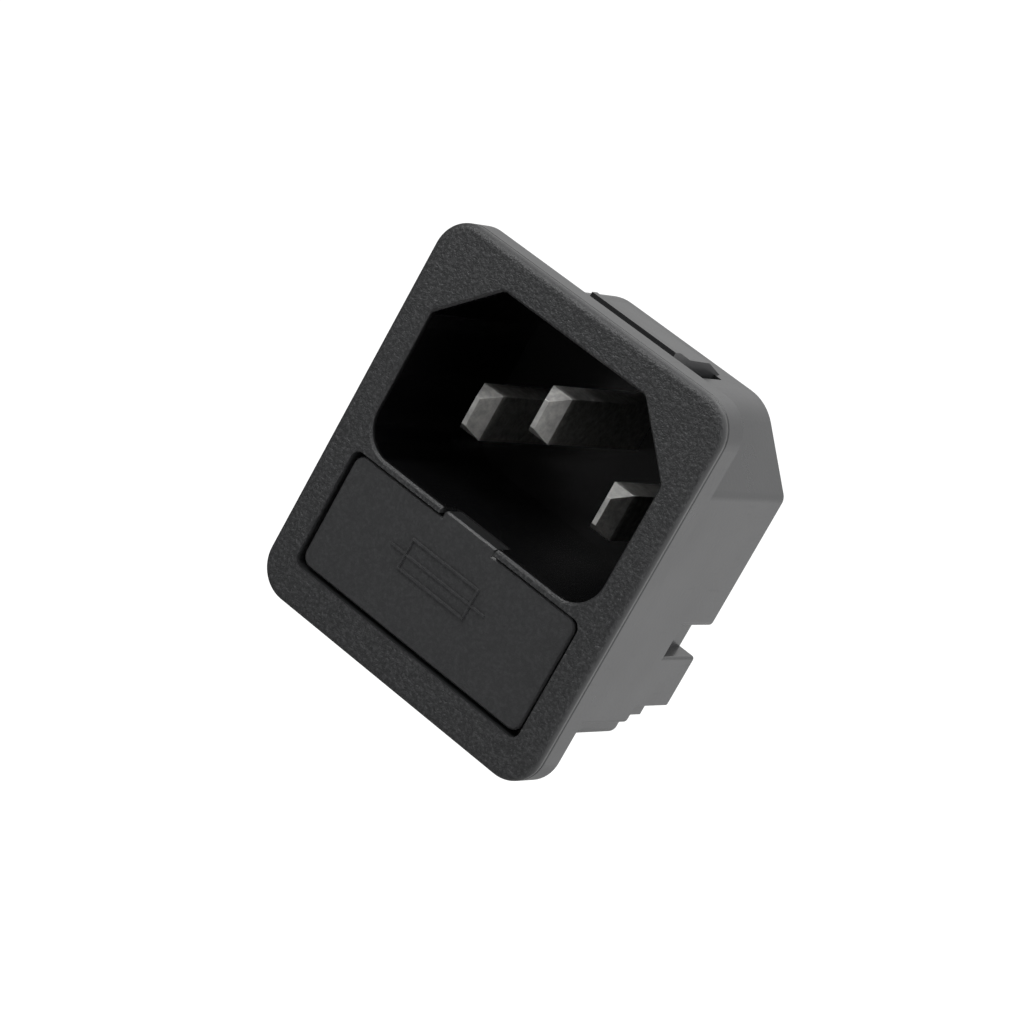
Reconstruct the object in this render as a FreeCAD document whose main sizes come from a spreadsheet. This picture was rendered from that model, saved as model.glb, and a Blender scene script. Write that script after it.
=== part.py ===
import FreeCAD, Part
import math
import os
import Sketcher

# Snap-in mains inlet for a panel: an appliance socket with three blades above a
# pull-out fuse drawer.  Millimetres.  The origin is the centre of the flange, on
# the plane where it bears on the panel.  +X is to the right and +Z up as seen from
# the front, the front faces -Y, and the body passes through the panel along +Y.

SIZES = {
    # flange
    "flange_width": 29.6,
    "flange_height": 33.6,
    "flange_thickness": 3.0,
    "flange_corner": 3.0,
    "flange_round": 0.6,
    # body behind the panel
    "body_width": 27.0,
    "body_depth": 14.1,
    "body_slope": 5.4,
    "slope_round": 4.0,
    "side_round": 1.0,
    "rear_bevel": 0.3,
    "top_wall": 0.75,
    # appliance socket
    "blade_row": 3.7,
    "socket_above": 10.25,
    "socket_below": 6.2,
    "socket_width": 24.3,
    "socket_depth": 15.6,
    "socket_slope": 4.8,
    "socket_corner": 2.9,
    "socket_bend": 0.6,
    "mouth_bevel": 0.2,
    # drawer window and tunnel
    "window_bar": 0.55,
    "window_width": 24.4,
    "window_height": 10.5,
    "window_corner": 0.8,
    "window_ledge": 0.7,
    "side_ledge": 1.1,
    "tunnel_wall": 0.8,
    "heel_height": 1.9,
    "heel_step": 1.95,
    "heel_round": 0.8,
    "chamber_width": 20.6,
    "chamber_wall": 1.1,
    "notch_width": 5.9,
    # side rails and skins
    "skin_depth": 9.25,
    "notch_height": 2.8,
    "rail_height": 4.6,
    "skin_drop": 1.55,
    "skin_round": 0.5,
    # panel latches
    "panel_room": 3.7,
    "latch_width": 8.8,
    "latch_rise": 1.5,
    "latch_length": 8.8,
    "latch_slot": 0.8,
    "lug_rise": 1.4,
    "lug_width": 8.8,
    # drawer
    "face_setback": 0.25,
    "face_thickness": 1.75,
    "face_gap": 0.35,
    "face_top_gap": 0.2,
    "face_bevel": 0.15,
    "stop_gap": 0.05,
    "tongue_gap": 0.2,
    "tongue_drop": 0.1,
    "tray_gap": 0.25,
    "tray_floor": 1.0,
    "partition": 0.8,
    "partition_drop": 1.4,
    "saddle_width": 7.2,
    "spare_room": 0.25,
    "detent_height": 0.18,
    "detent_length": 3.0,
    "detent_place": 6.5,
    # fuse links
    "fuse_length": 20.0,
    "cap_size": 5.2,
    "cap_length": 5.0,
    "cap_wall": 0.2,
    "glass_bore": 3.8,
    "glass_fit": 0.02,
    "wire_size": 0.24,
    "fuse_height": -7.6,
    "fuse_end_gap": 0.15,
    "fuse_seat": 0.03,
    "fuse_front_gap": 0.3,
    # blades
    "blade_pitch": 14.0,
    "blade_thickness": 2.0,
    "blade_width": 4.0,
    "earth_rise": 4.0,
    "blade_setback": 3.8,
    "earth_setback": 0.85,
    "tip_length": 1.55,
    "tip_end": 0.8,
    "tip_side": 0.8,
    "blade_fit": 0.02,
    "collar_rim": 0.5,
    "collar_thickness": 0.8,
    "collar_fit": 0.05,
    "shank_size": 1.8,
    "shank_fit": 0.02,
    "head_size": 2.6,
    "head_height": 0.6,
    # terminals
    "tab_thickness": 0.8,
    "tab_width": 4.8,
    "tab_reach": 8.0,
    "tab_foot": 5.2,
    "tab_bend": 0.4,
    "tab_hole": 1.4,
    "tab_hole_inset": 3.0,
    "tab_chamfer": 0.8,
    "link_width": 4.2,
    "link_margin": 2.2,
    # fuse clips
    "clip_thickness": 0.4,
    "clip_width": 3.4,
    "clip_gap": 0.1,
    "clip_flare": 0.3,
    "clip_lip": 0.9,
    "clip_reach": 1.3,
    "clip_round": 0.5,
    "rivet_size": 1.6,
    "rivet_fit": 0.02,
    "rivet_head": 2.6,
    "rivet_head_height": 0.5,
}

doc = FreeCAD.newDocument("PanelInlet")
sheet = doc.addObject("Spreadsheet::Sheet", "Sizes")
for row, (alias, value) in enumerate(SIZES.items(), start=1):
    sheet.set(f"A{row}", alias)
    sheet.set(f"B{row}", str(value))
    sheet.setAlias(f"B{row}", alias)
doc.recompute()


class Size:
    """A length that keeps its number and the sheet formula it comes from."""

    def __init__(self, value, formula):
        self.value = float(value)
        self.formula = formula

    def __add__(self, other):
        other = as_size(other)
        return Size(self.value + other.value, f"({self.formula} + {other.formula})")

    def __sub__(self, other):
        other = as_size(other)
        return Size(self.value - other.value, f"({self.formula} - {other.formula})")

    def __mul__(self, factor):
        return Size(self.value * factor, f"({self.formula} * {factor})")

    def __truediv__(self, factor):
        return Size(self.value / factor, f"({self.formula} / {factor})")

    def __neg__(self):
        return Size(-self.value, f"(-1 * {self.formula})")


def as_size(number):
    return number if isinstance(number, Size) else Size(number, str(number))


class Sizes:
    """Every cell of the sheet, by its alias."""

    def __getattr__(self, alias):
        return Size(sheet.get(alias), f"Sizes.{alias}")


s = Sizes()

# --- places that several pieces share ----------------------------------------

front = -s.flange_thickness
rear = s.body_depth
socket_floor = s.blade_row - s.socket_below
socket_roof = s.blade_row + s.socket_above
socket_end = front + s.socket_depth
body_top = socket_roof + s.top_wall
window_top = socket_floor - s.window_bar
window_bottom = window_top - s.window_height
window_side = s.window_width / 2
tunnel_top = window_top - s.window_ledge
tunnel_bottom = window_bottom + s.window_ledge
tunnel_side = window_side - s.side_ledge
block_side = tunnel_side + s.tunnel_wall
block_bottom = tunnel_bottom - s.tunnel_wall
heel_top = block_bottom + s.heel_height
heel_end = rear - s.heel_step
tunnel_end = heel_end - s.tunnel_wall
chamber_end = rear - s.chamber_wall
ledge_plane = front + s.face_setback + s.face_thickness + s.stop_gap
rail_top = socket_floor - s.notch_height
rail_bottom = rail_top - s.rail_height
skin_bottom = rail_bottom - s.skin_drop
blade_x = s.blade_pitch / 2
earth_row = s.blade_row + s.earth_rise
fuse_radius = s.cap_size / 2
tray_side = tunnel_side - s.tray_gap
tray_top = tunnel_top - s.tray_gap
tray_bottom = tunnel_bottom + s.tray_gap
tray_floor_top = tray_bottom + s.tray_floor
face_back = front + s.face_setback + s.face_thickness
spare_end = face_back + s.cap_size + s.spare_room * 2
partition_end = spare_end + s.partition
fuse_y = partition_end + s.fuse_front_gap + fuse_radius
tray_end = tunnel_end - s.tray_gap
spare_y = face_back + s.spare_room + fuse_radius
spare_height = tray_floor_top + s.fuse_seat + fuse_radius
detent_y = face_back + s.detent_place

# --- tools for sketches and features -----------------------------------------

# Plane of a sketch, and the sense in which its normal runs along the third axis.
PLANES = {"front": ("XZ_Plane", -1), "side": ("YZ_Plane", 1), "plan": ("XY_Plane", 1)}


def vector(point):
    return FreeCAD.Vector(point[0], point[1], 0)


def bind(sketch, index, size):
    sketch.setExpression(f"Constraints[{index}]", size.formula)


def pin_point(sketch, geometry, position, across, up):
    """Hold one point of the sketch at two signed distances from its origin."""
    for kind, size in (("DistanceX", across), ("DistanceY", up)):
        constraint = Sketcher.Constraint(kind, -1, 1, geometry, position, size.value)
        bind(sketch, sketch.addConstraint(constraint), size)


def corner_arc(before, corner, after, radius):
    """Tangent points and middle of the arc that rounds a corner."""
    corner = vector(corner)
    back = (vector(before) - corner).normalize()
    ahead = (vector(after) - corner).normalize()
    half_angle = back.getAngle(ahead) / 2
    reach = radius / math.tan(half_angle)
    inward = (back + ahead).normalize()
    middle = corner + inward * (radius / math.sin(half_angle) - radius)
    return corner + back * reach, middle, corner + ahead * reach


def draw_outline(sketch, corners):
    """Closed outline.  A corner is (across, up) or (across, up, radius)."""
    corners = [tuple(as_size(number) for number in corner) for corner in corners]
    spots = [(corner[0].value, corner[1].value) for corner in corners]
    count = len(corners)
    starts, ends, arcs = [], [], []
    for index, corner in enumerate(corners):
        spot = spots[index]
        if len(corner) == 3:
            radius = corner[2].value
            arc = corner_arc(spots[index - 1], spot, spots[(index + 1) % count], radius)
            arcs.append(arc)
            ends.append(arc[0])
            starts.append(arc[2])
        else:
            arcs.append(None)
            ends.append(vector(spot))
            starts.append(vector(spot))
    lines = []
    for index in range(count):
        line = Part.LineSegment(starts[index], ends[(index + 1) % count])
        lines.append(sketch.addGeometry(line, False))
    for index, corner in enumerate(corners):
        line_in, line_out = lines[index - 1], lines[index]
        if arcs[index] is None:
            sketch.addConstraint(Sketcher.Constraint("Coincident", line_in, 2, line_out, 1))
            pin_point(sketch, line_out, 1, corner[0], corner[1])
            continue
        arc = sketch.addGeometry(Part.Arc(*arcs[index]), False)
        enters_at_start = (sketch.getPoint(arc, 1) - arcs[index][0]).Length < 1e-6
        enter, leave = (1, 2) if enters_at_start else (2, 1)
        sketch.addConstraint(Sketcher.Constraint("Tangent", line_in, 2, arc, enter))
        sketch.addConstraint(Sketcher.Constraint("Tangent", arc, leave, line_out, 1))
        radius = Sketcher.Constraint("Radius", arc, corner[2].value)
        bind(sketch, sketch.addConstraint(radius), corner[2])
        tip = sketch.addGeometry(Part.Point(vector(spots[index])), True)
        sketch.addConstraint(Sketcher.Constraint("PointOnObject", tip, 1, line_in))
        sketch.addConstraint(Sketcher.Constraint("PointOnObject", tip, 1, line_out))
        pin_point(sketch, tip, 1, corner[0], corner[1])


def draw_circle(sketch, across, up, diameter):
    across, up = as_size(across), as_size(up)
    centre = FreeCAD.Vector(across.value, up.value, 0)
    circle = Part.Circle(centre, FreeCAD.Vector(0, 0, 1), diameter.value / 2)
    index = sketch.addGeometry(circle, False)
    pin_point(sketch, index, 3, across, up)
    constraint = Sketcher.Constraint("Diameter", index, diameter.value)
    bind(sketch, sketch.addConstraint(constraint), diameter)


def rectangle(left, right, low, high, radius=None):
    corners = [(left, low), (right, low), (right, high), (left, high)]
    if radius is None:
        return corners
    return [corner + (radius,) for corner in corners]


def new_body(label):
    body = doc.addObject("PartDesign::Body", label)
    body.Label = label
    return body


def new_sketch(body, name, plane, level):
    """Sketch parallel to one of the body's own origin planes, at a level along its axis."""
    role, sense = PLANES[plane]
    level = as_size(level)
    sketch = body.newObject("Sketcher::SketchObject", name)
    origin_plane = [item for item in body.Origin.OriginFeatures if item.Role == role][0]
    sketch.AttachmentSupport = [(origin_plane, "")]
    sketch.MapMode = "FlatFace"
    offset = level if sense > 0 else -level
    sketch.AttachmentOffset.Base.z = offset.value
    sketch.setExpression("AttachmentOffset.Base.z", offset.formula)
    return sketch


def volume_of(body):
    return body.Shape.Volume if body.Tip and not body.Shape.isNull() else 0.0


def extrude(body, name, plane, outlines, start, end, cut=False):
    """Pad or pocket the outlines from one level to a higher one."""
    sense = PLANES[plane][1]
    start, end = as_size(start), as_size(end)
    before = volume_of(body)
    sketch = new_sketch(body, name + "Sketch", plane, start)
    for outline in outlines:
        if isinstance(outline, dict):
            draw_circle(sketch, **outline)
        else:
            draw_outline(sketch, outline)
    feature = body.newObject("PartDesign::Pocket" if cut else "PartDesign::Pad", name)
    feature.Profile = sketch
    feature.Reversed = (sense > 0) if cut else (sense < 0)
    length = end - start
    feature.Length = length.value
    feature.setExpression("Length", length.formula)
    body.Tip = feature
    doc.recompute()
    change = volume_of(body) - before
    if (change >= 0) if cut else (change <= 0):
        raise RuntimeError(f"{body.Label}: {name} changes the volume by {change:.3f}")
    return feature


def pocket(body, name, plane, outlines, start, end):
    return extrude(body, name, plane, outlines, start, end, cut=True)


def round_edges(body, name, radius, wanted, kind="Fillet"):
    """Fillet or chamfer the edges of the body that the test picks."""
    base = body.Tip
    edges = base.Shape.Edges
    names = [f"Edge{index}" for index, edge in enumerate(edges, start=1) if wanted(edge)]
    if not names:
        raise RuntimeError(f"{body.Label}: {name} finds no edge")
    before = volume_of(body)
    feature = body.newObject(f"PartDesign::{kind}", name)
    feature.Base = (base, names)
    size_name = "Radius" if kind == "Fillet" else "Size"
    feature.setExpression(size_name, radius.formula)
    body.Tip = feature
    doc.recompute()
    if abs(volume_of(body) - before) < 1e-9:
        raise RuntimeError(f"{body.Label}: {name} changes nothing")
    return feature


def near(a, b):
    return abs(a - b) < 1e-4


def lies_at(edge, axis, level):
    """True for an edge that stays on the level along the axis."""
    box = edge.BoundBox
    low = {"x": box.XMin, "y": box.YMin, "z": box.ZMin}[axis]
    high = {"x": box.XMax, "y": box.YMax, "z": box.ZMax}[axis]
    return near(low, level.value) and near(high, level.value)


def within(edge, left, right, low, high):
    """True for an edge inside a rectangle seen from the front."""
    box = edge.BoundBox
    slack = 1e-4
    return (
        box.XMin > left.value - slack
        and box.XMax < right.value + slack
        and box.ZMin > low.value - slack
        and box.ZMax < high.value + slack
    )


def cylinder_x(name, radius, length, centre_y, centre_z):
    """Cylinder along X, its middle at x = 0."""
    cylinder = doc.addObject("Part::Cylinder", name)
    cylinder.setExpression("Radius", radius.formula)
    cylinder.setExpression("Height", length.formula)
    turn = FreeCAD.Rotation(FreeCAD.Vector(0, 1, 0), 90)
    cylinder.Placement = FreeCAD.Placement(FreeCAD.Vector(), turn)
    cylinder.setExpression("Placement.Base.x", (-length / 2).formula)
    cylinder.setExpression("Placement.Base.y", centre_y.formula)
    cylinder.setExpression("Placement.Base.z", centre_z.formula)
    return cylinder


def cylinder_y(name, radius, start, end, centre_x, centre_z):
    """Cylinder along Y between two levels."""
    cylinder = doc.addObject("Part::Cylinder", name)
    cylinder.setExpression("Radius", radius.formula)
    cylinder.setExpression("Height", (end - start).formula)
    turn = FreeCAD.Rotation(FreeCAD.Vector(1, 0, 0), -90)
    cylinder.Placement = FreeCAD.Placement(FreeCAD.Vector(), turn)
    cylinder.setExpression("Placement.Base.x", centre_x.formula)
    cylinder.setExpression("Placement.Base.y", start.formula)
    cylinder.setExpression("Placement.Base.z", centre_z.formula)
    return cylinder


def cut_away(label, base, tool):
    result = doc.addObject("Part::Cut", label)
    result.Label = label
    result.Base = base
    result.Tool = tool
    return result


# --- housing: flange, socket, drawer tunnel and latches in one moulding -------


def socket_outline(side, floor, roof, slope, low_round, bend_round):
    """Six-sided socket section, its two upper corners cut off at 45 degrees."""
    return [
        (-side, floor, low_round),
        (side, floor, low_round),
        (side, roof - slope, bend_round),
        (side - slope, roof, bend_round),
        (-(side - slope), roof, bend_round),
        (-side, roof - slope, bend_round),
    ]


def make_housing():
    body = new_body("inlet_housing")
    flange_side = s.flange_width / 2
    flange_end = s.flange_height / 2
    outline = rectangle(-flange_side, flange_side, -flange_end, flange_end, s.flange_corner)
    extrude(body, "Flange", "front", [outline], front, 0)
    round_edges(body, "FlangeRound", s.flange_round, lambda edge: lies_at(edge, "y", front))
    add_shroud(body)
    add_drawer_block(body)
    cut_socket(body)
    cut_tunnel(body)
    add_panel_latches(body)
    cut_rear_seats(body)
    return body


def add_shroud(body):
    side = s.body_width / 2
    outline = [
        (-side, socket_floor, s.skin_round),
        (side, socket_floor, s.skin_round),
        (side, body_top - s.body_slope, s.side_round),
        (side - s.body_slope, body_top, s.slope_round),
        (-(side - s.body_slope), body_top, s.slope_round),
        (-side, body_top - s.body_slope, s.side_round),
    ]
    extrude(body, "Shroud", "front", [outline], 0, rear)
    round_edges(
        body, "RearBevel", s.rear_bevel, lambda edge: lies_at(edge, "y", rear), kind="Chamfer"
    )


def add_drawer_block(body):
    """Lower block round the drawer, its side skins and the rails behind them."""
    side = s.body_width / 2
    inner = tunnel_side
    block = [
        (-block_side, block_bottom, s.tunnel_wall),
        (block_side, block_bottom, s.tunnel_wall),
        (block_side, 0),
        (-block_side, 0),
    ]
    extrude(body, "DrawerBlock", "front", [block], 0, rear)
    skins, rails = [], []
    for sign in (-1, 1):
        skins.append([
            (inner * sign, skin_bottom),
            (side * sign, skin_bottom, s.skin_round),
            (side * sign, 0),
            (inner * sign, 0),
        ])
        rails.append([
            (inner * sign, rail_bottom),
            (side * sign, rail_bottom, s.skin_round / 2),
            (side * sign, rail_top, s.skin_round / 2),
            (inner * sign, rail_top),
        ])
    extrude(body, "SideSkins", "front", skins, 0, s.skin_depth)
    extrude(body, "SideRails", "front", rails, s.skin_depth / 2, rear)
    heel = rectangle(-block_side - 1, block_side + 1, block_bottom - 1, heel_top)
    pocket(body, "HeelStep", "front", [heel], heel_end, rear + 1)
    round_edges(
        body,
        "HeelRound",
        s.heel_round,
        lambda edge: lies_at(edge, "y", heel_end) and lies_at(edge, "z", block_bottom),
    )


def cut_socket(body):
    side = s.socket_width / 2
    outline = socket_outline(
        side, socket_floor, socket_roof, s.socket_slope, s.socket_corner, s.socket_bend
    )
    pocket(body, "Socket", "front", [outline], front, socket_end)
    round_edges(
        body,
        "MouthBevel",
        s.mouth_bevel,
        lambda edge: lies_at(edge, "y", front)
        and within(edge, -side, side, socket_floor, socket_roof),
        kind="Chamfer",
    )


def cut_tunnel(body):
    """Window for the drawer's face, notch for its tongue, tunnel and clip chamber."""
    window = rectangle(-window_side, window_side, window_bottom, window_top, s.window_corner)
    pocket(body, "Window", "front", [window], front, ledge_plane)
    half_notch = s.notch_width / 2
    notch = rectangle(-half_notch, half_notch, window_top - s.window_corner, socket_floor + 1)
    pocket(body, "TongueNotch", "front", [notch], front, ledge_plane)
    tunnel = rectangle(-tunnel_side, tunnel_side, tunnel_bottom, tunnel_top, s.window_corner)
    pocket(body, "Tunnel", "front", [tunnel], front, tunnel_end)
    half_chamber = s.chamber_width / 2
    chamber = rectangle(-half_chamber, half_chamber, heel_top + s.tunnel_wall, tunnel_top)
    pocket(body, "ClipChamber", "front", [chamber], tunnel_end - 1, chamber_end)
    grooves = [detent_outline(tunnel_side, sign, s.tray_gap) for sign in (-1, 1)]
    low, high = detent_span(s.tray_gap)
    pocket(body, "DetentGrooves", "plan", grooves, low, high)


def detent_outline(wall, sign, room):
    """Section of a detent ridge, or of its groove, on a side wall, seen from above."""
    crest = wall + s.detent_height
    root = wall - s.detent_height
    slope = s.detent_height * 2 + room
    return [
        (root * sign, detent_y - slope * 2),
        (crest * sign, detent_y - slope),
        (crest * sign, detent_y + slope),
        (root * sign, detent_y + slope * 2),
    ]


def detent_span(room):
    half = s.detent_length / 2 + room
    return s.fuse_height - half, s.fuse_height + half


def add_panel_latches(body):
    """Spring tongue cut free in the shroud's roof, and a fixed lug under the block."""
    half = s.latch_width / 2
    slot = half + s.latch_slot
    slot_start = s.panel_room - s.latch_slot
    slot_end = s.panel_room + s.latch_length - s.latch_rise
    below, above = socket_roof - s.top_wall, body_top + s.top_wall
    sides = [
        rectangle(-slot, -half, below, above),
        rectangle(half, slot, below, above),
    ]
    pocket(body, "LatchSlots", "front", sides, slot_start, slot_end)
    end_slot = rectangle(-slot, slot, below, above)
    pocket(body, "LatchEndSlot", "front", [end_slot], slot_start, s.panel_room)
    barb = [
        (s.panel_room, socket_roof + s.top_wall / 3),
        (s.panel_room, body_top + s.latch_rise),
        (s.panel_room + s.top_wall, body_top + s.latch_rise),
        (s.panel_room + s.latch_length * 0.3, body_top + s.latch_rise * 0.66),
        (s.panel_room + s.latch_length * 0.65, body_top + s.latch_rise * 0.6),
        (s.panel_room + s.latch_length, body_top - s.top_wall / 3),
        (s.panel_room + s.latch_length, socket_roof + s.top_wall / 3),
    ]
    extrude(body, "LatchBarb", "side", [barb], -half, half)
    half_lug = s.lug_width / 2
    lug = [
        (s.panel_room, block_bottom + s.tunnel_wall / 2),
        (heel_end - s.heel_round, block_bottom + s.tunnel_wall / 2),
        (heel_end - s.heel_round, block_bottom),
        (s.panel_room + s.tunnel_wall, block_bottom - s.lug_rise),
        (s.panel_room, block_bottom - s.lug_rise),
    ]
    extrude(body, "PanelLug", "side", [lug], -half_lug, half_lug)


def blade_places():
    """Centre of each blade: its piece, across and up."""
    return {
        "line_pin": (-blade_x, s.blade_row),
        "neutral_pin": (blade_x, s.blade_row),
        "earth_pin": (as_size(0), earth_row),
    }


def cut_rear_seats(body):
    """Blade slots with a seat for each collar, and the rivet holes of the clips."""
    slots, seats = [], []
    half_x = s.blade_thickness / 2
    half_z = s.blade_width / 2
    seat = s.collar_rim + s.collar_fit
    for x, z in blade_places().values():
        for outlines, extra in ((slots, s.blade_fit), (seats, seat)):
            across, up = half_x + extra, half_z + extra
            outlines.append(rectangle(x - across, x + across, z - up, z + up))
    pocket(body, "BladeSlots", "front", slots, socket_end - 1, rear + 1)
    pocket(body, "CollarSeats", "front", seats, rear - s.collar_thickness, rear + 1)
    bore = s.rivet_size + s.rivet_fit * 2
    holes = [
        {"across": blade_x * sign, "up": s.fuse_height, "diameter": bore} for sign in (-1, 1)
    ]
    pocket(body, "RivetHoles", "front", holes, chamber_end - 1, rear + 1)


# --- fuse drawer ---------------------------------------------------------------


def make_drawer():
    body = new_body("fuse_drawer")
    face_front = front + s.face_setback
    face_side = window_side - s.face_gap
    face_low = window_bottom + s.face_gap
    face_high = window_top - s.face_top_gap
    face = rectangle(-face_side, face_side, face_low, face_high, s.window_corner + s.face_bevel)
    extrude(body, "Face", "front", [face], face_front, face_back)
    half_tongue = s.notch_width / 2 - s.tongue_gap
    tongue = [
        (-half_tongue, face_high - s.window_corner),
        (half_tongue, face_high - s.window_corner),
        (half_tongue, socket_floor - s.tongue_drop),
        (-half_tongue, socket_floor - s.tongue_drop, s.face_gap),
    ]
    extrude(body, "Tongue", "front", [tongue], face_front, face_back)
    round_edges(
        body, "FaceBevel", s.face_bevel, lambda edge: lies_at(edge, "y", face_front), kind="Chamfer"
    )
    tray = rectangle(-tray_side, tray_side, tray_bottom, tray_top, s.window_corner)
    extrude(body, "Tray", "front", [tray], face_back, tray_end)
    inner = s.fuse_length / 2 + s.fuse_end_gap
    spare_bay = rectangle(-inner, inner, tray_floor_top, tray_top + 1)
    pocket(body, "SpareBay", "front", [spare_bay], face_back, spare_end)
    pocket(body, "FuseBay", "front", [spare_bay], partition_end, tray_end + 1)
    relief = rectangle(-inner, inner, tray_top - s.partition_drop, tray_top + 1)
    pocket(body, "PartitionRelief", "front", [relief], spare_end - 1, partition_end + 1)
    half_saddle = s.saddle_width / 2
    saddle = rectangle(-half_saddle, half_saddle, tray_bottom + s.tray_floor / 2, s.fuse_height)
    extrude(body, "Saddle", "front", [saddle], partition_end - s.partition / 2, tray_end)
    trough = {"across": fuse_y, "up": s.fuse_height, "diameter": s.cap_size}
    pocket(body, "SaddleTrough", "side", [trough], -half_saddle - 1, half_saddle + 1)
    ridges = [detent_outline(tray_side, sign, as_size(0)) for sign in (-1, 1)]
    low, high = detent_span(as_size(0))
    extrude(body, "DetentRidges", "plan", ridges, low, high)
    return body


# --- blades --------------------------------------------------------------------


def make_blade(label, x, z, setback):
    """Blade with a bevelled tip, a collar seated in the rear wall and a riveted shank."""
    body = new_body(label)
    tip = front + setback
    tip_base = tip + s.tip_length
    half_x = s.blade_thickness / 2
    half_z = s.blade_width / 2
    nose_left = x - half_x + s.tip_side
    nose_right = x + half_x - s.tip_side
    nose = rectangle(nose_left, nose_right, z - half_z + s.tip_end, z + half_z - s.tip_end)
    full = rectangle(x - half_x, x + half_x, z - half_z, z + half_z)
    nose_sketch = new_sketch(body, "NoseSketch", "front", tip)
    draw_outline(nose_sketch, nose)
    full_sketch = new_sketch(body, "ShoulderSketch", "front", tip_base)
    draw_outline(full_sketch, full)
    loft = body.newObject("PartDesign::AdditiveLoft", "Tip")
    loft.Profile = nose_sketch
    loft.Sections = [full_sketch]
    loft.Ruled = True
    body.Tip = loft
    doc.recompute()
    collar_start = rear - s.collar_thickness
    extrude(body, "Blade", "front", [full], tip_base, collar_start)
    rim = s.collar_rim
    left, right = x - half_x - rim, x + half_x + rim
    collar = rectangle(left, right, z - half_z - rim, z + half_z + rim)
    extrude(body, "Collar", "front", [collar], collar_start, rear)
    head_start = rear + s.tab_thickness
    head_end = head_start + s.head_height
    shank = {"across": x, "up": z, "diameter": s.shank_size}
    extrude(body, "Shank", "front", [shank], rear, head_start)
    head = {"across": x, "up": z, "diameter": s.head_size}
    extrude(body, "Head", "front", [head], head_start, head_end)
    half_height = s.head_height / 2
    round_edges(
        body, "HeadEdge", half_height, lambda edge: lies_at(edge, "y", head_end), kind="Chamfer"
    )
    return body


# --- terminals -----------------------------------------------------------------


def make_tab(label, x, z, hole):
    """Stamped L: a foot riveted on the rear wall, and a push-on tab along +Y."""
    body = new_body(label)
    half_foot = s.tab_foot / 2
    half_width = s.tab_width / 2
    foot_back = rear + s.tab_thickness
    tab_end = rear + s.tab_reach
    outer_bend = s.tab_bend + s.tab_thickness
    profile = [
        (x - half_foot, rear, outer_bend),
        (x + half_foot, rear),
        (x + half_foot, foot_back),
        (x - half_foot + s.tab_thickness, foot_back, s.tab_bend),
        (x - half_foot + s.tab_thickness, tab_end),
        (x - half_foot, tab_end),
    ]
    extrude(body, "Strip", "plan", [profile], z - half_width, z + half_width)
    round_edges(
        body,
        "TabChamfer",
        s.tab_chamfer,
        lambda edge: lies_at(edge, "y", tab_end)
        and (lies_at(edge, "z", z - half_width) or lies_at(edge, "z", z + half_width)),
        kind="Chamfer",
    )
    rivet_hole = {"across": x, "up": z, "diameter": hole}
    pocket(body, "FootHole", "front", [rivet_hole], rear - 1, foot_back + s.tab_bend / 2)
    eye = {"across": tab_end - s.tab_hole_inset, "up": z, "diameter": s.tab_hole}
    left = x - half_foot
    pocket(body, "Eye", "side", [eye], left - 1, left + s.tab_thickness + 1)
    return body


def make_line_link():
    """Flat strip that joins the line blade to the rivet of its fuse clip."""
    body = new_body("line_link")
    half = s.link_width / 2
    low = s.fuse_height - s.link_margin
    high = s.blade_row + s.link_margin
    strip = rectangle(-blade_x - half, -blade_x + half, low, high, s.tab_chamfer)
    extrude(body, "Strip", "front", [strip], rear, rear + s.tab_thickness)
    holes = [
        {"across": -blade_x, "up": s.blade_row, "diameter": s.shank_size + s.shank_fit * 2},
        {"across": -blade_x, "up": s.fuse_height, "diameter": s.rivet_size + s.rivet_fit * 2},
    ]
    pocket(body, "Holes", "front", holes, rear - 1, rear + s.tab_thickness + 1)
    return body


# --- fuse clips ----------------------------------------------------------------


def make_clip(label, x):
    """U of spring strip: a base on the chamber wall and two arms along the cap."""
    body = new_body(label)
    inside = fuse_radius + s.clip_gap
    outside = inside + s.clip_thickness
    back = chamber_end
    base = chamber_end - s.clip_thickness
    reach = fuse_y - s.clip_reach
    lip = reach - s.clip_lip
    height = s.fuse_height
    inner_round = s.clip_round - s.clip_thickness / 2
    profile = [
        (back, height + outside, s.clip_round),
        (reach, height + outside),
        (lip, height + outside + s.clip_flare),
        (lip, height + inside + s.clip_flare),
        (reach, height + inside),
        (base, height + inside, inner_round),
        (base, height - inside, inner_round),
        (reach, height - inside),
        (lip, height - inside - s.clip_flare),
        (lip, height - outside - s.clip_flare),
        (reach, height - outside),
        (back, height - outside, s.clip_round),
    ]
    half = s.clip_width / 2
    extrude(body, "Strip", "side", [profile], x - half, x + half)
    bore = s.rivet_size + s.rivet_fit * 2
    hole = {"across": x, "up": height, "diameter": bore}
    pocket(body, "RivetHole", "front", [hole], base - 1, back + 1)
    return body


def make_rivets():
    """Two rivets, each through a clip, the rear wall and the strip outside it."""
    solids = []
    clip_face = chamber_end - s.clip_thickness
    strip_face = rear + s.tab_thickness
    for side, sign in (("Line", -1), ("Load", 1)):
        x = blade_x * sign
        spans = (
            ("Shank", s.rivet_size / 2, clip_face - s.rivet_head_height, strip_face),
            ("Head", s.rivet_head / 2, clip_face - s.rivet_head_height, clip_face),
            ("Tail", s.rivet_head / 2, strip_face, strip_face + s.rivet_head_height),
        )
        pieces = [
            cylinder_y(f"{side}Rivet{part}", radius, start, end, x, s.fuse_height)
            for part, radius, start, end in spans
        ]
        rivet = doc.addObject("Part::MultiFuse", f"{side}Rivet")
        rivet.Shapes = pieces
        solids.append(rivet)
    pair = doc.addObject("Part::Compound", "clip_rivets")
    pair.Label = "clip_rivets"
    pair.Links = solids
    return pair


# --- cartridge fuses -----------------------------------------------------------


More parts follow.
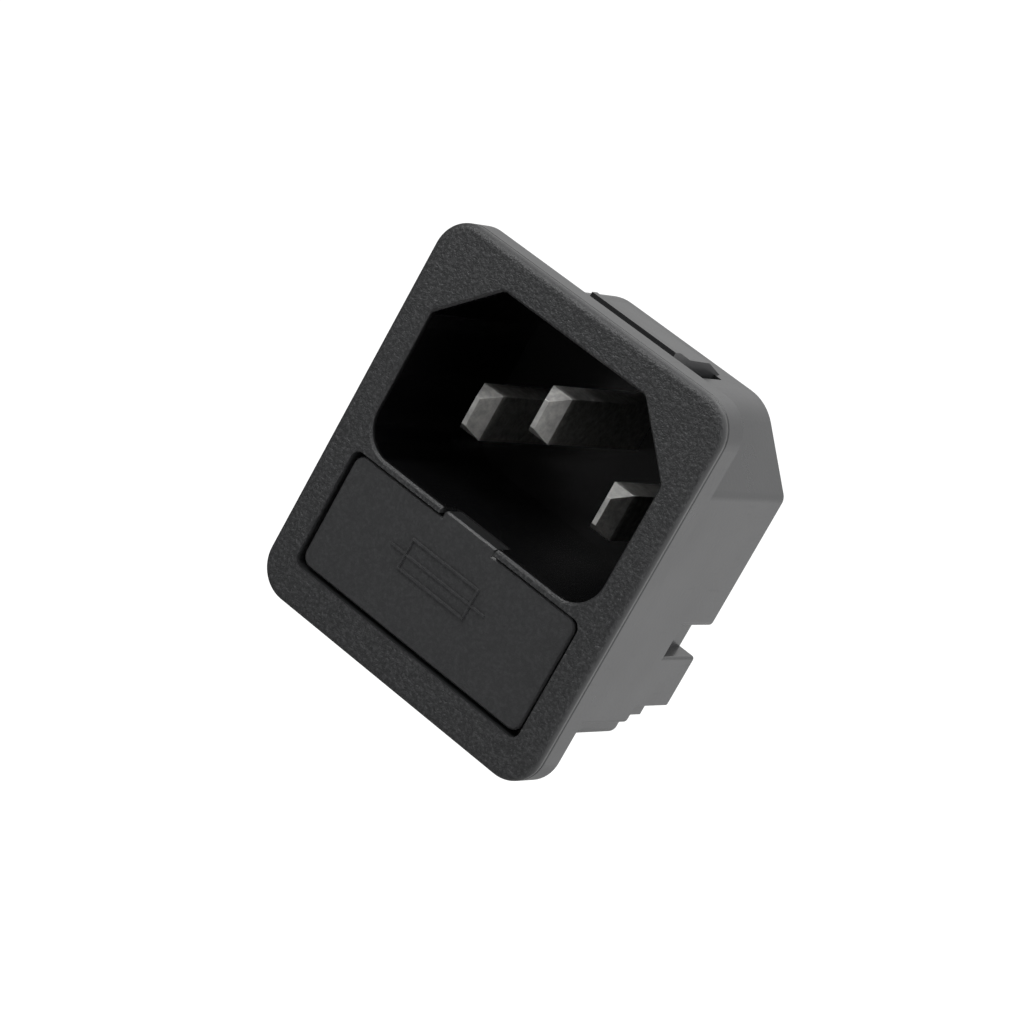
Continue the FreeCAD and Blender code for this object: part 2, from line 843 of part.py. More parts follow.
def make_fuse(prefix, centre_y, centre_z):
    """Glass tube, two pressed caps and the element wire of a cartridge fuse."""
    end_wall = s.cap_wall * 2
    glass_radius = fuse_radius - s.cap_wall - s.glass_fit
    glass_length = s.fuse_length - end_wall * 2
    glass = cut_away(
        f"{prefix}_tube",
        cylinder_x(f"{prefix}_glass", glass_radius, glass_length, centre_y, centre_z),
        cylinder_x(f"{prefix}_bore", s.glass_bore / 2, s.fuse_length, centre_y, centre_z),
    )
    wire = cylinder_x(f"{prefix}_wire", s.wire_size / 2, glass_length, centre_y, centre_z)
    wire.Label = f"{prefix}_wire"
    parts = [glass, wire]
    for side, sign in (("left", -1), ("right", 1)):
        cup = new_body(f"{prefix}_cap_{side}")
        end = s.fuse_length / 2 * sign
        rim = (s.fuse_length / 2 - s.cap_length) * sign
        floor = (s.fuse_length / 2 - end_wall) * sign
        outer = {"across": centre_y, "up": centre_z, "diameter": s.cap_size}
        inner = {"across": centre_y, "up": centre_z, "diameter": s.cap_size - s.cap_wall * 2}
        if sign > 0:
            extrude(cup, "Cup", "side", [outer], rim, end)
            pocket(cup, "Bore", "side", [inner], rim - 1, floor)
        else:
            extrude(cup, "Cup", "side", [outer], end, rim)
            pocket(cup, "Bore", "side", [inner], floor, rim + 1)
        round_edges(
            cup,
            "CapEdge",
            s.cap_wall,
            lambda edge, end=end: lies_at(edge, "x", end),
            kind="Chamfer",
        )
        parts.append(cup)
    return parts


# --- assembly ------------------------------------------------------------------

pieces = [make_housing(), make_drawer()]
for blade, (across, up) in blade_places().items():
    setback = s.earth_setback if blade == "earth_pin" else s.blade_setback
    pieces.append(make_blade(blade, across, up, setback))
shank_hole = s.shank_size + s.shank_fit * 2
clip_hole = s.rivet_size + s.rivet_fit * 2
pieces.append(make_tab("neutral_tab", blade_x, s.blade_row, shank_hole))
pieces.append(make_tab("earth_tab", as_size(0), earth_row, shank_hole))
pieces.append(make_tab("load_tab", blade_x, s.fuse_height, clip_hole))
pieces.append(make_line_link())
pieces.append(make_clip("line_clip", -blade_x))
pieces.append(make_clip("load_clip", blade_x))
pieces.append(make_rivets())
pieces += make_fuse("fuse", fuse_y, s.fuse_height)
pieces += make_fuse("spare", spare_y, spare_height)

doc.recompute()
for item in doc.Objects:
    if "Invalid" in item.State or "Error" in item.State:
        raise RuntimeError(f"{item.Name} failed: {item.State}")
for piece in pieces:
    if piece.Shape.isNull() or not piece.Shape.isValid() or not piece.Shape.Solids:
        raise RuntimeError(f"{piece.Label} has no valid solid")

os.makedirs("parts", exist_ok=True)
for piece in pieces:
    piece.Shape.exportStep(f"parts/{piece.Label}.step")
    box = piece.Shape.BoundBox
    print(
        f"{piece.Label}: {len(piece.Shape.Solids)} solid, {piece.Shape.Volume:.2f} mm3, "
        f"x {box.XMin:.2f}..{box.XMax:.2f} y {box.YMin:.2f}..{box.YMax:.2f} "
        f"z {box.ZMin:.2f}..{box.ZMax:.2f}"
    )
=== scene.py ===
import math
import bmesh
import bpy
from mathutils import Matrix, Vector


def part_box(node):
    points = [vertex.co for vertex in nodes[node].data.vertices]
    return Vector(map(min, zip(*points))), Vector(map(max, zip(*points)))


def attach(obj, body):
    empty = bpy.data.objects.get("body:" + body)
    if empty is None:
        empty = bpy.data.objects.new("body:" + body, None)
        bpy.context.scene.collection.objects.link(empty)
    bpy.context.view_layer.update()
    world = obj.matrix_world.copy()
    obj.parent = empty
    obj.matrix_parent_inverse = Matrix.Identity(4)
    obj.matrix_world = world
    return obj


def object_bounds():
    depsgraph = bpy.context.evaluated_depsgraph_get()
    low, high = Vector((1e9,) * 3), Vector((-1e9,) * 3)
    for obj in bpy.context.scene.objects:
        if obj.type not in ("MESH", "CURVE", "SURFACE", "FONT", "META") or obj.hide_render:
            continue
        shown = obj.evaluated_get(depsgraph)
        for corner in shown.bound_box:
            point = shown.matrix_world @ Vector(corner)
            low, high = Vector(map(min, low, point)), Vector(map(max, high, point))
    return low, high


# Dresses the panel inlet: moulded black housing and drawer, plated blades, tinned
# terminals, bronze clips and glass fuses.  Metres throughout.

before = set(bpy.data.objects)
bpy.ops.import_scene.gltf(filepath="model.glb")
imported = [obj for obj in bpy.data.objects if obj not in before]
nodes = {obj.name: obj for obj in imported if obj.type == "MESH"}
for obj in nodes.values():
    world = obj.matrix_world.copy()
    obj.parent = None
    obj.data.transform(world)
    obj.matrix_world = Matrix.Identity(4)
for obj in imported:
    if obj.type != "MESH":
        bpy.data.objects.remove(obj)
cad_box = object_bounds()

MM = 0.001

FLANGE_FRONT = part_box("inlet_housing")[0][1]
BLADES = ("line_pin", "neutral_pin", "earth_pin")

# The spark-eroded grain ends where the flange's edge rounds off, and its matt look a
# little further back.  Each end is measured from the front, each fade runs up to it.
GRAIN_END, GRAIN_FADE = 0.30 * MM, 0.26 * MM
MATT_END, MATT_FADE = 1.0 * MM, 0.8 * MM
PITS_PER_METRE = 3400.0
SMOOTH_GRAIN = 0.05
SMOOTH_TONE = 0.36
MOULDING_IOR = 1.58

# Fine line that the joint of the mould leaves round the rim.
JOINT_BEHIND, JOINT_HALF = 0.75 * MM, 0.22 * MM
RIM_HALF_WIDTH, RIM_HALF_HEIGHT, RIM_FADE = 14.0 * MM, 15.3 * MM, 0.2 * MM

# Painted shade in the socket's inside: lower and upper corner of the box where the colour is
# painted near black, and the most that |x| + z may be there.
SHADED_SOCKET = (
    (-12.7 * MM, FLANGE_FRONT + 0.1 * MM, -2.85 * MM),
    (12.7 * MM, 12.9 * MM, 14.4 * MM),
    22.2 * MM,
)
SOCKET_SHADE_EDGE = 0.4 * MM
# Near-black colour painted inside the socket as shade; the polish below is roughness taken off
# there.
SOCKET_PAINTED_SHADE = (0.0012, 0.0012, 0.0014)
SOCKET_POLISH = 0.12

# The blades: a pale tip, partly worn plating and partly a painted highlight, then a shinier shank
# painted darker as shade, and corners rubbed round.
TIP_LENGTH, TIP_FADE = 1.5 * MM, 0.8 * MM
SHANK_SHADE_TONE, SHANK_POLISH = 0.6, 0.14
CORNER_JOIN, CORNER_ROUND, CORNER_ANGLE = 0.002 * MM, 0.09 * MM, 30.0

# Fuse symbol on the drawer: sides of its rectangle, and the conductor's line and ends.
SYMBOL_LEFT, SYMBOL_RIGHT = -3.9 * MM, 3.1 * MM
SYMBOL_BOTTOM, SYMBOL_TOP = -8.6 * MM, -6.05 * MM
CONDUCTOR, CONDUCTOR_LEFT, CONDUCTOR_RIGHT = -7.4 * MM, -5.3 * MM, 4.55 * MM
BAR_WIDTH, BAR_SINK, BAR_SLOPE = 0.24 * MM, 0.02 * MM, 0.04 * MM

# Surroundings.
FLOOR_DROP = 0.06
FLOOR_REACH = 1.2
FLOOR_STRENGTH = 1.15
FLOOR_SHARE = 0.88
DARKEST = 0.08
AMBIENT = 0.50

CAMERA_LENS = 142.362
CAMERA_SENSOR = 36.0
CAMERA_CLIP = (0.01, 10.0)
CAMERA_PLACE = (0.14135, -0.25859, 0.08465)
CAMERA_TURN = (71.6745, -27.9705, 37.3458)


# --- shader helpers ------------------------------------------------------------


def new_group(name, inputs, outputs):
    """Empty shader group with named sockets: (name, kind, default) and (name, kind)."""
    group = bpy.data.node_groups.new(name, "ShaderNodeTree")
    for socket_name, kind, default in inputs:
        socket = group.interface.new_socket(name=socket_name, in_out="INPUT", socket_type=kind)
        socket.default_value = default
    for socket_name, kind in outputs:
        group.interface.new_socket(name=socket_name, in_out="OUTPUT", socket_type=kind)
    entry = group.nodes.new("NodeGroupInput")
    leave = group.nodes.new("NodeGroupOutput")
    return group, entry, leave


def math_node(tree, operation, first, second=None, clamp=False):
    """Math node whose inputs are sockets or plain numbers; gives its result socket."""
    node = tree.nodes.new("ShaderNodeMath")
    node.operation = operation
    node.use_clamp = clamp
    for index, value in enumerate((first, second)):
        if value is None:
            continue
        if isinstance(value, (int, float)):
            node.inputs[index].default_value = value
        else:
            tree.links.new(value, node.inputs[index])
    return node.outputs[0]


def noise(tree, place, scale, detail=2.0, rough=0.5):
    node = tree.nodes.new("ShaderNodeTexNoise")
    node.inputs["Detail"].default_value = detail
    node.inputs["Roughness"].default_value = rough
    if isinstance(scale, (int, float)):
        node.inputs["Scale"].default_value = scale
    else:
        tree.links.new(scale, node.inputs["Scale"])
    tree.links.new(place, node.inputs["Vector"])
    return node.outputs["Fac"]


def ramp(tree, value, stops):
    """Ramp of greys from (position, grey) stops."""
    node = tree.nodes.new("ShaderNodeValToRGB")
    elements = node.color_ramp.elements
    while len(elements) < len(stops):
        elements.new(0.5)
    for element, (position, grey) in zip(elements, stops):
        element.position = position
        element.color = (grey, grey, grey, 1.0)
    tree.links.new(value, node.inputs["Fac"])
    return node.outputs["Color"]


# --- effects that several finishes share -----------------------------------------


def make_spark_grain():
    """Pitted grain that spark erosion leaves in a mould, in two sizes."""
    group, entry, leave = new_group(
        "spark_grain",
        [
            ("Place", "NodeSocketVector", (0, 0, 0)),
            ("Pits per metre", "NodeSocketFloat", PITS_PER_METRE),
        ],
        [("Height", "NodeSocketFloat"), ("Shade", "NodeSocketFloat")],
    )
    place, pits = entry.outputs["Place"], entry.outputs["Pits per metre"]
    coarse = noise(group, place, pits, 2.5, 0.6)
    fine = noise(group, place, math_node(group, "MULTIPLY", pits, 2.6), 1.0)
    pitted = math_node(group, "POWER", coarse, 1.6)
    both = math_node(group, "MULTIPLY_ADD", fine, 0.35)
    group.links.new(pitted, both.node.inputs[2])
    group.links.new(math_node(group, "SUBTRACT", both, 0.5), leave.inputs["Height"])
    shade = ramp(group, both, [(0.42, 0.0), (0.72, 1.0)])
    group.links.new(shade, leave.inputs["Shade"])
    return group


def make_handling():
    """Soft smears and fine scuffs that handling leaves on a smooth surface."""
    group, entry, leave = new_group(
        "handling_marks",
        [("Place", "NodeSocketVector", (0, 0, 0)), ("Amount", "NodeSocketFloat", 1.0)],
        [("Smear", "NodeSocketFloat"), ("Scuff", "NodeSocketFloat")],
    )
    place, amount = entry.outputs["Place"], entry.outputs["Amount"]
    smear = noise(group, place, 160.0, 3.0, 0.55)
    stretch = group.nodes.new("ShaderNodeMapping")
    stretch.inputs["Scale"].default_value = (1.0, 0.12, 1.0)
    stretch.inputs["Rotation"].default_value = (0.5, 0.2, 0.8)
    group.links.new(place, stretch.inputs["Vector"])
    lines = noise(group, stretch.outputs["Vector"], 2600.0, 3.0, 0.6)
    sharp = ramp(group, lines, [(0.62, 0.0), (0.74, 1.0)])
    group.links.new(math_node(group, "MULTIPLY", smear, amount), leave.inputs["Smear"])
    group.links.new(math_node(group, "MULTIPLY", sharp, amount), leave.inputs["Scuff"])
    return group


def make_worn_edge():
    """Bright where an edge is rubbed: the surface's own convexity, broken up."""
    group, entry, leave = new_group(
        "rubbed_edge",
        [("Place", "NodeSocketVector", (0, 0, 0)), ("Reach", "NodeSocketFloat", 0.5)],
        [("Mask", "NodeSocketFloat")],
    )
    geometry = group.nodes.new("ShaderNodeNewGeometry")
    edge = ramp(group, geometry.outputs["Pointiness"], [(0.5, 0.0), (0.56, 1.0)])
    patches = noise(group, entry.outputs["Place"], 900.0, 3.0)
    broken = math_node(group, "MULTIPLY", edge, patches)
    mask = math_node(group, "MULTIPLY", broken, entry.outputs["Reach"], clamp=True)
    group.links.new(mask, leave.inputs["Mask"])
    return group


SPARK_GRAIN = make_spark_grain()
HANDLING = make_handling()
WORN_EDGE = make_worn_edge()


def new_finish(name):
    """Material with its own Principled shader and the piece's own coordinates."""
    material = bpy.data.materials.new(name)
    material.use_nodes = True
    tree = material.node_tree
    shader = tree.nodes["Principled BSDF"]
    place = tree.nodes.new("ShaderNodeTexCoord").outputs["Object"]
    return material, tree, shader, place


def use(tree, group, place, **values):
    """One of the shared effects, with this finish's own values."""
    node = tree.nodes.new("ShaderNodeGroup")
    node.node_tree = group
    tree.links.new(place, node.inputs["Place"])
    for name, value in values.items():
        node.inputs[name].default_value = value
    return node.outputs


def bump(tree, shader, height, strength, distance):
    node = tree.nodes.new("ShaderNodeBump")
    node.inputs["Strength"].default_value = strength
    node.inputs["Distance"].default_value = distance
    tree.links.new(height, node.inputs["Height"])
    tree.links.new(node.outputs["Normal"], shader.inputs["Normal"])


def blend_colours(tree, mask, low, high):
    """Mixes two colours, each a socket or a fixed colour, by a mask."""
    node = tree.nodes.new("ShaderNodeMix")
    node.data_type = "RGBA"
    tree.links.new(mask, node.inputs["Factor"])
    colours = [socket for socket in node.inputs if socket.type == "RGBA"]
    for socket, value in zip(colours, (low, high)):
        if isinstance(value, tuple):
            socket.default_value = (*value, 1.0)
        else:
            tree.links.new(value, socket)
    return [socket for socket in node.outputs if socket.type == "RGBA"][0]


# --- finishes ------------------------------------------------------------------


def inside_box(tree, axes, low, high, shoulder, edge):
    """1 inside a box with two upper corners cut off, falling to 0 over the edge width.

    The shoulder is the most that |x| + z may be, so it sets the cut of the corners.
    """
    distances = []
    for axis, start, end in zip("XYZ", low, high):
        distances.append(math_node(tree, "SUBTRACT", axes.outputs[axis], start))
        distances.append(math_node(tree, "SUBTRACT", end, axes.outputs[axis]))
    across = math_node(tree, "ABSOLUTE", axes.outputs["X"])
    slope = math_node(tree, "ADD", across, axes.outputs["Z"])
    distances.append(math_node(tree, "SUBTRACT", shoulder, slope))
    result = None
    for distance in distances:
        step = math_node(tree, "MULTIPLY", distance, 1.0 / edge, clamp=True)
        result = step if result is None else math_node(tree, "MULTIPLY", result, step)
    return result


def rim_joint(tree, axes, front):
    """1 in the line round the rim where the halves of the mould meet, else 0."""
    away = math_node(tree, "SUBTRACT", axes.outputs["Y"], front + JOINT_BEHIND)
    away = math_node(tree, "MULTIPLY", math_node(tree, "ABSOLUTE", away), 1.0 / JOINT_HALF)
    line = math_node(tree, "MAXIMUM", math_node(tree, "SUBTRACT", 1.0, away), 0.0)
    wide = math_node(tree, "ABSOLUTE", axes.outputs["X"])
    high = math_node(tree, "ABSOLUTE", axes.outputs["Z"])
    wide = math_node(tree, "SUBTRACT", wide, RIM_HALF_WIDTH)
    high = math_node(tree, "SUBTRACT", high, RIM_HALF_HEIGHT)
    rim = math_node(tree, "MAXIMUM", wide, high)
    rim = math_node(tree, "MULTIPLY", rim, 1.0 / RIM_FADE, clamp=True)
    return math_node(tree, "MULTIPLY", line, rim)


def axes_of(tree, place):
    """The place taken apart into X, Y and Z."""
    axes = tree.nodes.new("ShaderNodeSeparateXYZ")
    tree.links.new(place, axes.inputs["Vector"])
    return axes


def ahead_of(tree, axes, end, fade):
    """1 towards the front, falling over the fade to 0 at the end."""
    ahead = math_node(tree, "SUBTRACT", end, axes.outputs["Y"])
    return math_node(tree, "MULTIPLY", ahead, 1.0 / fade, clamp=True)


def moulded_black(
    name,
    dark,
    light,
    grained,
    smooth,
    grain_depth,
    sink_depth,
    front,
    joint_depth=0.0,
    shaded_hollow=None,
):
    """Black moulding: grained on its front, smooth and a little darker elsewhere.

    The grained and smooth values are roughness.  The sink depth is that of the broad
    unevenness that cooling leaves in every face, and the joint depth that of the line
    left round the rim by the joint of the mould.  Inside the socket the colour is
    painted near black as shade, and the roughness is lower.
    """
    material, tree, shader, place = new_finish(name)
    shader.inputs["IOR"].default_value = MOULDING_IOR
    grain = use(tree, SPARK_GRAIN, place)
    marks = use(tree, HANDLING, place, Amount=1.0)
    axes = axes_of(tree, place)
    facing = ahead_of(tree, axes, front + GRAIN_END, GRAIN_FADE)
    plain = tuple(SMOOTH_TONE * (low + high) for low, high in zip(dark, light))
    speckled = blend_colours(tree, grain["Shade"], dark, light)
    colour = blend_colours(tree, facing, plain, speckled)
    matt = ahead_of(tree, axes, front + MATT_END, MATT_FADE)
    base = math_node(tree, "MULTIPLY_ADD", matt, grained - smooth)
    base.node.inputs[2].default_value = smooth
    # Painted shade: inside the socket the colour goes near black.
    if shaded_hollow:
        painted_shade = inside_box(tree, axes, *shaded_hollow, SOCKET_SHADE_EDGE)
        colour = blend_colours(tree, painted_shade, colour, SOCKET_PAINTED_SHADE)
        polish = math_node(tree, "MULTIPLY", painted_shade, SOCKET_POLISH)
        base = math_node(tree, "SUBTRACT", base, polish)
    tree.links.new(colour, shader.inputs["Base Color"])
    varied = math_node(tree, "MULTIPLY_ADD", marks["Smear"], 0.14)
    tree.links.new(math_node(tree, "SUBTRACT", base, 0.07), varied.node.inputs[2])
    scuffed = math_node(tree, "MULTIPLY_ADD", marks["Scuff"], 0.06)
    tree.links.new(varied, scuffed.node.inputs[2])
    tree.links.new(scuffed, shader.inputs["Roughness"])
    share = math_node(tree, "MULTIPLY_ADD", facing, 1.0 - SMOOTH_GRAIN)
    share.node.inputs[2].default_value = SMOOTH_GRAIN
    pits = math_node(tree, "MULTIPLY", grain["Height"], share)
    broad = noise(tree, place, 110.0, 1.0)
    sunk = math_node(tree, "MULTIPLY_ADD", broad, sink_depth / grain_depth)
    tree.links.new(pits, sunk.node.inputs[2])
    if joint_depth:
        line = rim_joint(tree, axes, front)
        joint = math_node(tree, "MULTIPLY", line, -joint_depth / grain_depth)
        sunk = math_node(tree, "ADD", sunk, joint)
    bump(tree, shader, sunk, 1.0, grain_depth)
    return material


def plated(name, low, high, rough, scale=700.0, edge_gain=1.25, tip=None):
    """Plated or rolled metal with cloudy tone, fine draw lines and rubbed edges.

    A blade has its tip's place given: the tip is matt and pale, partly as worn plating
    and partly as a painted highlight, and the shank behind it is shinier and painted darker as
    shade.
    """
    material, tree, shader, place = new_finish(name)
    shader.inputs["Metallic"].default_value = 1.0
    cloud = noise(tree, place, scale, 4.0, 0.62)
    marks = use(tree, HANDLING, place, Amount=1.0)
    edge = use(tree, WORN_EDGE, place, Reach=0.8)
    spread = ramp(tree, cloud, [(0.32, 0.0), (0.68, 1.0)])
    tone = blend_colours(tree, spread, low, high)
    # Painted light on a blade: the tip's pale tone is partly a painted highlight, and the shank's
    # darker tone is painted shade.
    if tip is not None:
        axes = axes_of(tree, place)
        behind = math_node(tree, "SUBTRACT", axes.outputs["Y"], tip + TIP_LENGTH)
        shank = math_node(tree, "MULTIPLY", behind, 1.0 / TIP_FADE, clamp=True)
        dull = tuple(SHANK_SHADE_TONE * channel for channel in low)
        tone = blend_colours(tree, shank, tone, blend_colours(tree, spread, dull, low))
    rubbed = tuple(min(1.0, channel * edge_gain) for channel in high)
    tree.links.new(blend_colours(tree, edge["Mask"], tone, rubbed), shader.inputs["Base Color"])
    varied = math_node(tree, "MULTIPLY_ADD", cloud, 0.25)
    varied.node.inputs[2].default_value = rough - 0.12
    if tip is not None:
        polish = math_node(tree, "MULTIPLY", shank, SHANK_POLISH)
        varied = math_node(tree, "SUBTRACT", varied, polish)
    scuffed = math_node(tree, "MULTIPLY_ADD", marks["Scuff"], 0.12)
    tree.links.new(varied, scuffed.node.inputs[2])
    tree.links.new(scuffed, shader.inputs["Roughness"])
    bump(tree, shader, math_node(tree, "ADD", cloud, marks["Scuff"]), 0.35, 0.00002)
    return material


def clear_tube(name):
    """Glass of a cartridge fuse, faintly uneven as drawn tube is."""
    material, tree, shader, place = new_finish(name)
    shader.inputs["Transmission Weight"].default_value = 1.0
    shader.inputs["IOR"].default_value = 1.5
    wave = noise(tree, place, 300.0, 1.0)
    tint = blend_colours(tree, wave, (0.90, 0.95, 0.93), (0.97, 0.99, 0.98))
    tree.links.new(tint, shader.inputs["Base Color"])
    dull = math_node(tree, "MULTIPLY_ADD", wave, 0.04)
    dull.node.inputs[2].default_value = 0.02
    tree.links.new(dull, shader.inputs["Roughness"])
    bump(tree, shader, wave, 0.2, 0.00002)
    return material


housing_black = moulded_black(
    "housing_black",
    (0.019, 0.0195, 0.0205),
    (0.038, 0.0387, 0.0402),
    grained=0.50,
    smooth=0.30,
    grain_depth=0.00012,
    sink_depth=0.0001,
    front=FLANGE_FRONT,
    joint_depth=0.00012,
    # The socket's inside gets painted shade.
    shaded_hollow=SHADED_SOCKET,
)
drawer_black = moulded_black(
    "drawer_black",
    (0.025, 0.0255, 0.0266),
    (0.034, 0.0346, 0.0360),
    grained=0.42,
    smooth=0.36,
    grain_depth=0.00003,
    sink_depth=0.00006,
    front=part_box("fuse_drawer")[0][1],
)
line_nickel, neutral_nickel, earth_nickel = [
    plated(
        pin + "_nickel",
        (0.70, 0.695, 0.68),
        (0.99, 0.98, 0.95),
        0.54,
        1900.0,
        edge_gain=1.02,
        tip=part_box(pin)[0][1],
    )
    for pin in BLADES
]
nickel = plated("nickel_plate", (0.34, 0.335, 0.32), (0.62, 0.61, 0.58), 0.36)
tinned = plated("tinned_brass", (0.36, 0.355, 0.34), (0.56, 0.55, 0.53), 0.44, 500.0)
bronze = plated("spring_bronze", (0.42, 0.25, 0.13), (0.62, 0.41, 0.24), 0.36, 400.0)
fuse_wire = plated("tinned_wire", (0.55, 0.54, 0.52), (0.78, 0.77, 0.75), 0.28, 900.0)
fuse_glass = clear_tube("fuse_glass_tube")

FINISHES = {
    "inlet_housing": housing_black,
    "fuse_drawer": drawer_black,
    "line_pin": line_nickel,
    "neutral_pin": neutral_nickel,
    "earth_pin": earth_nickel,
    "clip_rivets": nickel,
    "neutral_tab": tinned,
    "earth_tab": tinned,
    "load_tab": tinned,
    "line_link": tinned,
    "line_clip": bronze,
    "load_clip": bronze,
    "fuse_tube": fuse_glass,
    "spare_tube": fuse_glass,
    "fuse_wire": fuse_wire,
    "spare_wire": fuse_wire,
    "fuse_cap_left": nickel,
    "fuse_cap_right": nickel,
    "spare_cap_left": nickel,
    "spare_cap_right": nickel,
}

for node_name, finish in FINISHES.items():
    piece = nodes[node_name]
    piece.data.materials.clear()
    piece.data.materials.append(finish)

for node_name in BLADES:
    joined = nodes[node_name].modifiers.new("joined_faces", "WELD")
    joined.merge_threshold = CORNER_JOIN
    rounding = nodes[node_name].modifiers.new("rubbed_corners", "BEVEL")
    rounding.width = CORNER_ROUND
    rounding.segments = 2
    rounding.limit_method = "ANGLE"
    rounding.angle_limit = math.radians(CORNER_ANGLE)
    rounding.use_clamp_overlap = True


# --- raised fuse symbol on the drawer's face --------------------------------------


def raised_bar(mesh, start, end, width, face, height, slope):
    """Bar with sloping flanks standing forward of the face, between two points (x, z)."""
    start, end = Vector(start), Vector(end)
    along = (end - start).normalized()
    across = Vector((-along.y, along.x))
    rings = []
    for level, inset in ((face, 0.0), (face - height, slope)):
        half = width / 2 - inset
        corners = []
        for spot, sign in ((start, -1), (end, 1)):
            tip = spot + along * sign * half
            sides = (-1, 1) if sign < 0 else (1, -1)
            for side in sides:
                flat = tip + across * side * half
                corners.append(mesh.verts.new((flat.x, level, flat.y)))
        rings.append(corners)
    base, top = rings
    mesh.faces.new(top)
    mesh.faces.new(list(reversed(base)))
    for index in range(4):
        following = (index + 1) % 4
        mesh.faces.new((base[index], base[following], top[following], top[index]))


def make_fuse_symbol():
    """Rectangle with the line of the conductor running through it.

    The bars' heights differ a little, so that no two tops lie in one plane.
    """
    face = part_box("fuse_drawer")[0][1]
    mesh = bmesh.new()
    left, right, bottom, top = SYMBOL_LEFT, SYMBOL_RIGHT, SYMBOL_BOTTOM, SYMBOL_TOP
    strokes = [
        ((left, bottom), (right, bottom)),
        ((left, top), (right, top)),
        ((left, bottom), (left, top)),
        ((right, bottom), (right, top)),
        ((CONDUCTOR_LEFT, CONDUCTOR), (CONDUCTOR_RIGHT, CONDUCTOR)),
    ]
    base = face + BAR_SINK
    for order, (start, end) in enumerate(strokes):
        height = (0.20 - 0.01 * order) * MM
        raised_bar(mesh, start, end, BAR_WIDTH, base, height, BAR_SLOPE)
    bmesh.ops.recalc_face_normals(mesh, faces=mesh.faces)
    data = bpy.data.meshes.new("fuse_symbol")
    mesh.to_mesh(data)
    mesh.free()
    symbol = bpy.data.objects.new("fuse_symbol", data)
    bpy.context.scene.collection.objects.link(symbol)
    symbol.data.materials.append(drawer_black)
    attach(symbol, "drawer")


make_fuse_symbol()


# --- floor, light and camera -------------------------------------------------------


def seen_directly(tree):
    """Light Path outputs: 1 for rays straight from the eye or through glass, and glossy."""
    rays = tree.nodes.new("ShaderNodeLightPath")
    direct = math_node(
        tree, "ADD", rays.outputs["Is Camera Ray"], rays.outputs["Is Transmission Ray"], clamp=True
    )
    return direct, rays.outputs["Is Glossy Ray"]


def fading(tree, vector, along, start, end):
    """0 at the start and 1 at the end of a vector's run along a direction, slow at first."""
    node = tree.nodes.new("ShaderNodeVectorMath")
    node.operation = "DOT_PRODUCT"
    node.inputs[1].default_value = along
    tree.links.new(vector, node.inputs[0])
    shifted = math_node(tree, "SUBTRACT", node.outputs["Value"], start)
    even = math_node(tree, "MULTIPLY", shifted, 1.0 / (end - start), clamp=True)
    return math_node(tree, "MULTIPLY", even, even)


def shown_strength(tree, glossy, spread, full=1.0):
    """Full, but fading to the darkest in reflections, as with a dark studio in front."""
    lost = math_node(tree, "SUBTRACT", 1.0, spread)
    lost = math_node(tree, "MULTIPLY", lost, full - DARKEST)
    return math_node(tree, "SUBTRACT", full, math_node(tree, "MULTIPLY", lost, glossy))


def pale_finish():
    """White to the eye, paler behind than in front in reflections; it takes a shadow."""
    material = bpy.data.materials.new("pale_floor")
    material.use_nodes = True
    tree = material.node_tree
    shader = tree.nodes["Principled BSDF"]
    shader.inputs["Base Color"].default_value = (0.9, 0.9, 0.9, 1.0)
    shader.inputs["Roughness"].default_value = 0.9
    direct, glossy = seen_directly(tree)
    place = tree.nodes.new("ShaderNodeNewGeometry").outputs["Position"]
    spread = fading(tree, place, (0.8, 0.8, 0.0), -0.1, 0.2)
    glow = tree.nodes.new("ShaderNodeEmission")
    glow.inputs["Color"].default_value = (1.0, 1.0, 1.0, 1.0)
    strength = shown_strength(tree, glossy, spread, FLOOR_STRENGTH)
    tree.links.new(strength, glow.inputs["Strength"])
    share = math_node(tree, "MULTIPLY", direct, FLOOR_SHARE)
    share = math_node(tree, "ADD", share, glossy, clamp=True)
    blend = tree.nodes.new("ShaderNodeMixShader")
    tree.links.new(share, blend.inputs[0])
    tree.links.new(shader.outputs["BSDF"], blend.inputs[1])
    tree.links.new(glow.outputs["Emission"], blend.inputs[2])
    tree.links.new(blend.outputs["Shader"], tree.nodes["Material Output"].inputs["Surface"])
    return material


def make_floor(level):
    mesh = bmesh.new()
    corners = [
        mesh.verts.new((x * FLOOR_REACH, y * FLOOR_REACH, level))
        for x, y in ((-1, -1), (1, -1), (1, 1), (-1, 1))
    ]
    mesh.faces.new(corners)
    data = bpy.data.meshes.new("floor")
    mesh.to_mesh(data)
    mesh.free()
    floor = bpy.data.objects.new("floor", data)
    bpy.context.scene.collection.objects.link(floor)
    floor.data.materials.append(pale_finish())


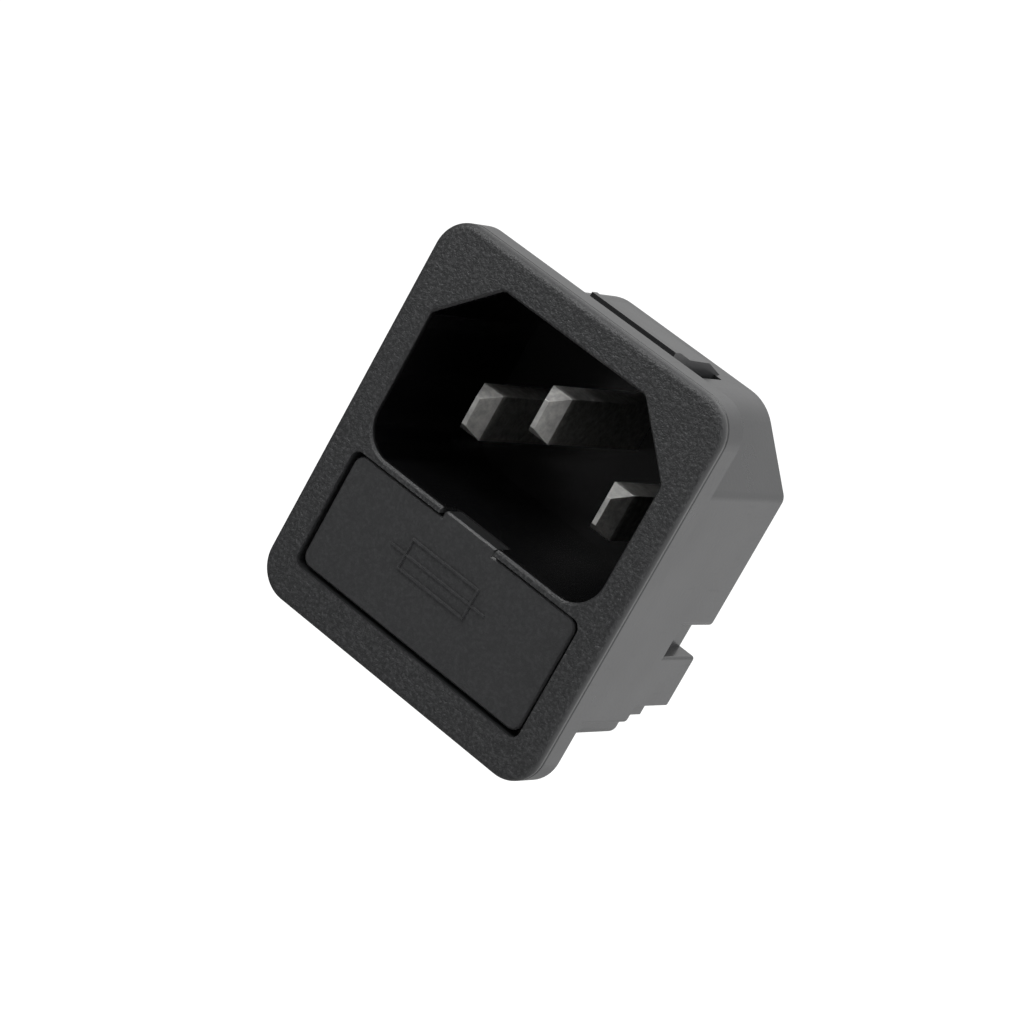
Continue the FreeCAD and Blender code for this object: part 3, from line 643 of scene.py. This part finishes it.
def make_world():
    """White to the eye, a plain ambient light, and paler above and behind in reflections."""
    world = bpy.data.worlds.new("studio")
    bpy.context.scene.world = world
    world.use_nodes = True
    tree = world.node_tree
    around = tree.nodes["Background"]
    around.inputs["Color"].default_value = (1.0, 1.0, 1.0, 1.0)
    around.inputs["Strength"].default_value = AMBIENT
    shown = tree.nodes.new("ShaderNodeBackground")
    shown.inputs["Color"].default_value = (1.0, 1.0, 1.0, 1.0)
    direct, glossy = seen_directly(tree)
    heading = tree.nodes.new("ShaderNodeTexCoord").outputs["Generated"]
    spread = fading(tree, heading, (0.3, 0.65, 0.5), -0.3, 0.7)
    tree.links.new(shown_strength(tree, glossy, spread), shown.inputs["Strength"])
    blend = tree.nodes.new("ShaderNodeMixShader")
    tree.links.new(math_node(tree, "ADD", direct, glossy, clamp=True), blend.inputs[0])
    tree.links.new(around.outputs["Background"], blend.inputs[1])
    tree.links.new(shown.outputs["Background"], blend.inputs[2])
    tree.links.new(blend.outputs["Shader"], tree.nodes["World Output"].inputs["Surface"])


def soft_box(name, place, width, power, mirrored=True):
    """Square lamp that faces the object; unless mirrored, no gloss shows it."""
    lamp = bpy.data.lights.new(name, "AREA")
    lamp.size = width
    lamp.energy = power
    holder = bpy.data.objects.new(name, lamp)
    holder.location = place
    holder.rotation_euler = (-Vector(place)).to_track_quat("-Z", "Y").to_euler()
    holder.visible_glossy = mirrored
    bpy.context.scene.collection.objects.link(holder)


make_floor(cad_box[0][2] - FLOOR_DROP)
make_world()
soft_box("key_right", (0.42, 0.02, 0.20), 0.45, 2.3, mirrored=False)
soft_box("top_back", (-0.02, 0.16, 0.45), 0.40, 1.1)
soft_box("front_left", (-0.07, -0.098, 0.112), 0.0875, 0.165)

camera_data = bpy.data.cameras.new("camera")
camera_data.sensor_width = CAMERA_SENSOR
camera_data.lens = CAMERA_LENS
camera_data.clip_start, camera_data.clip_end = CAMERA_CLIP
camera = bpy.data.objects.new("camera", camera_data)
camera.location = CAMERA_PLACE
camera.rotation_euler = [math.radians(angle) for angle in CAMERA_TURN]
bpy.context.scene.collection.objects.link(camera)
bpy.context.scene.camera = camera
bpy.context.scene.view_settings.view_transform = "Standard"

bpy.context.view_layer.update()
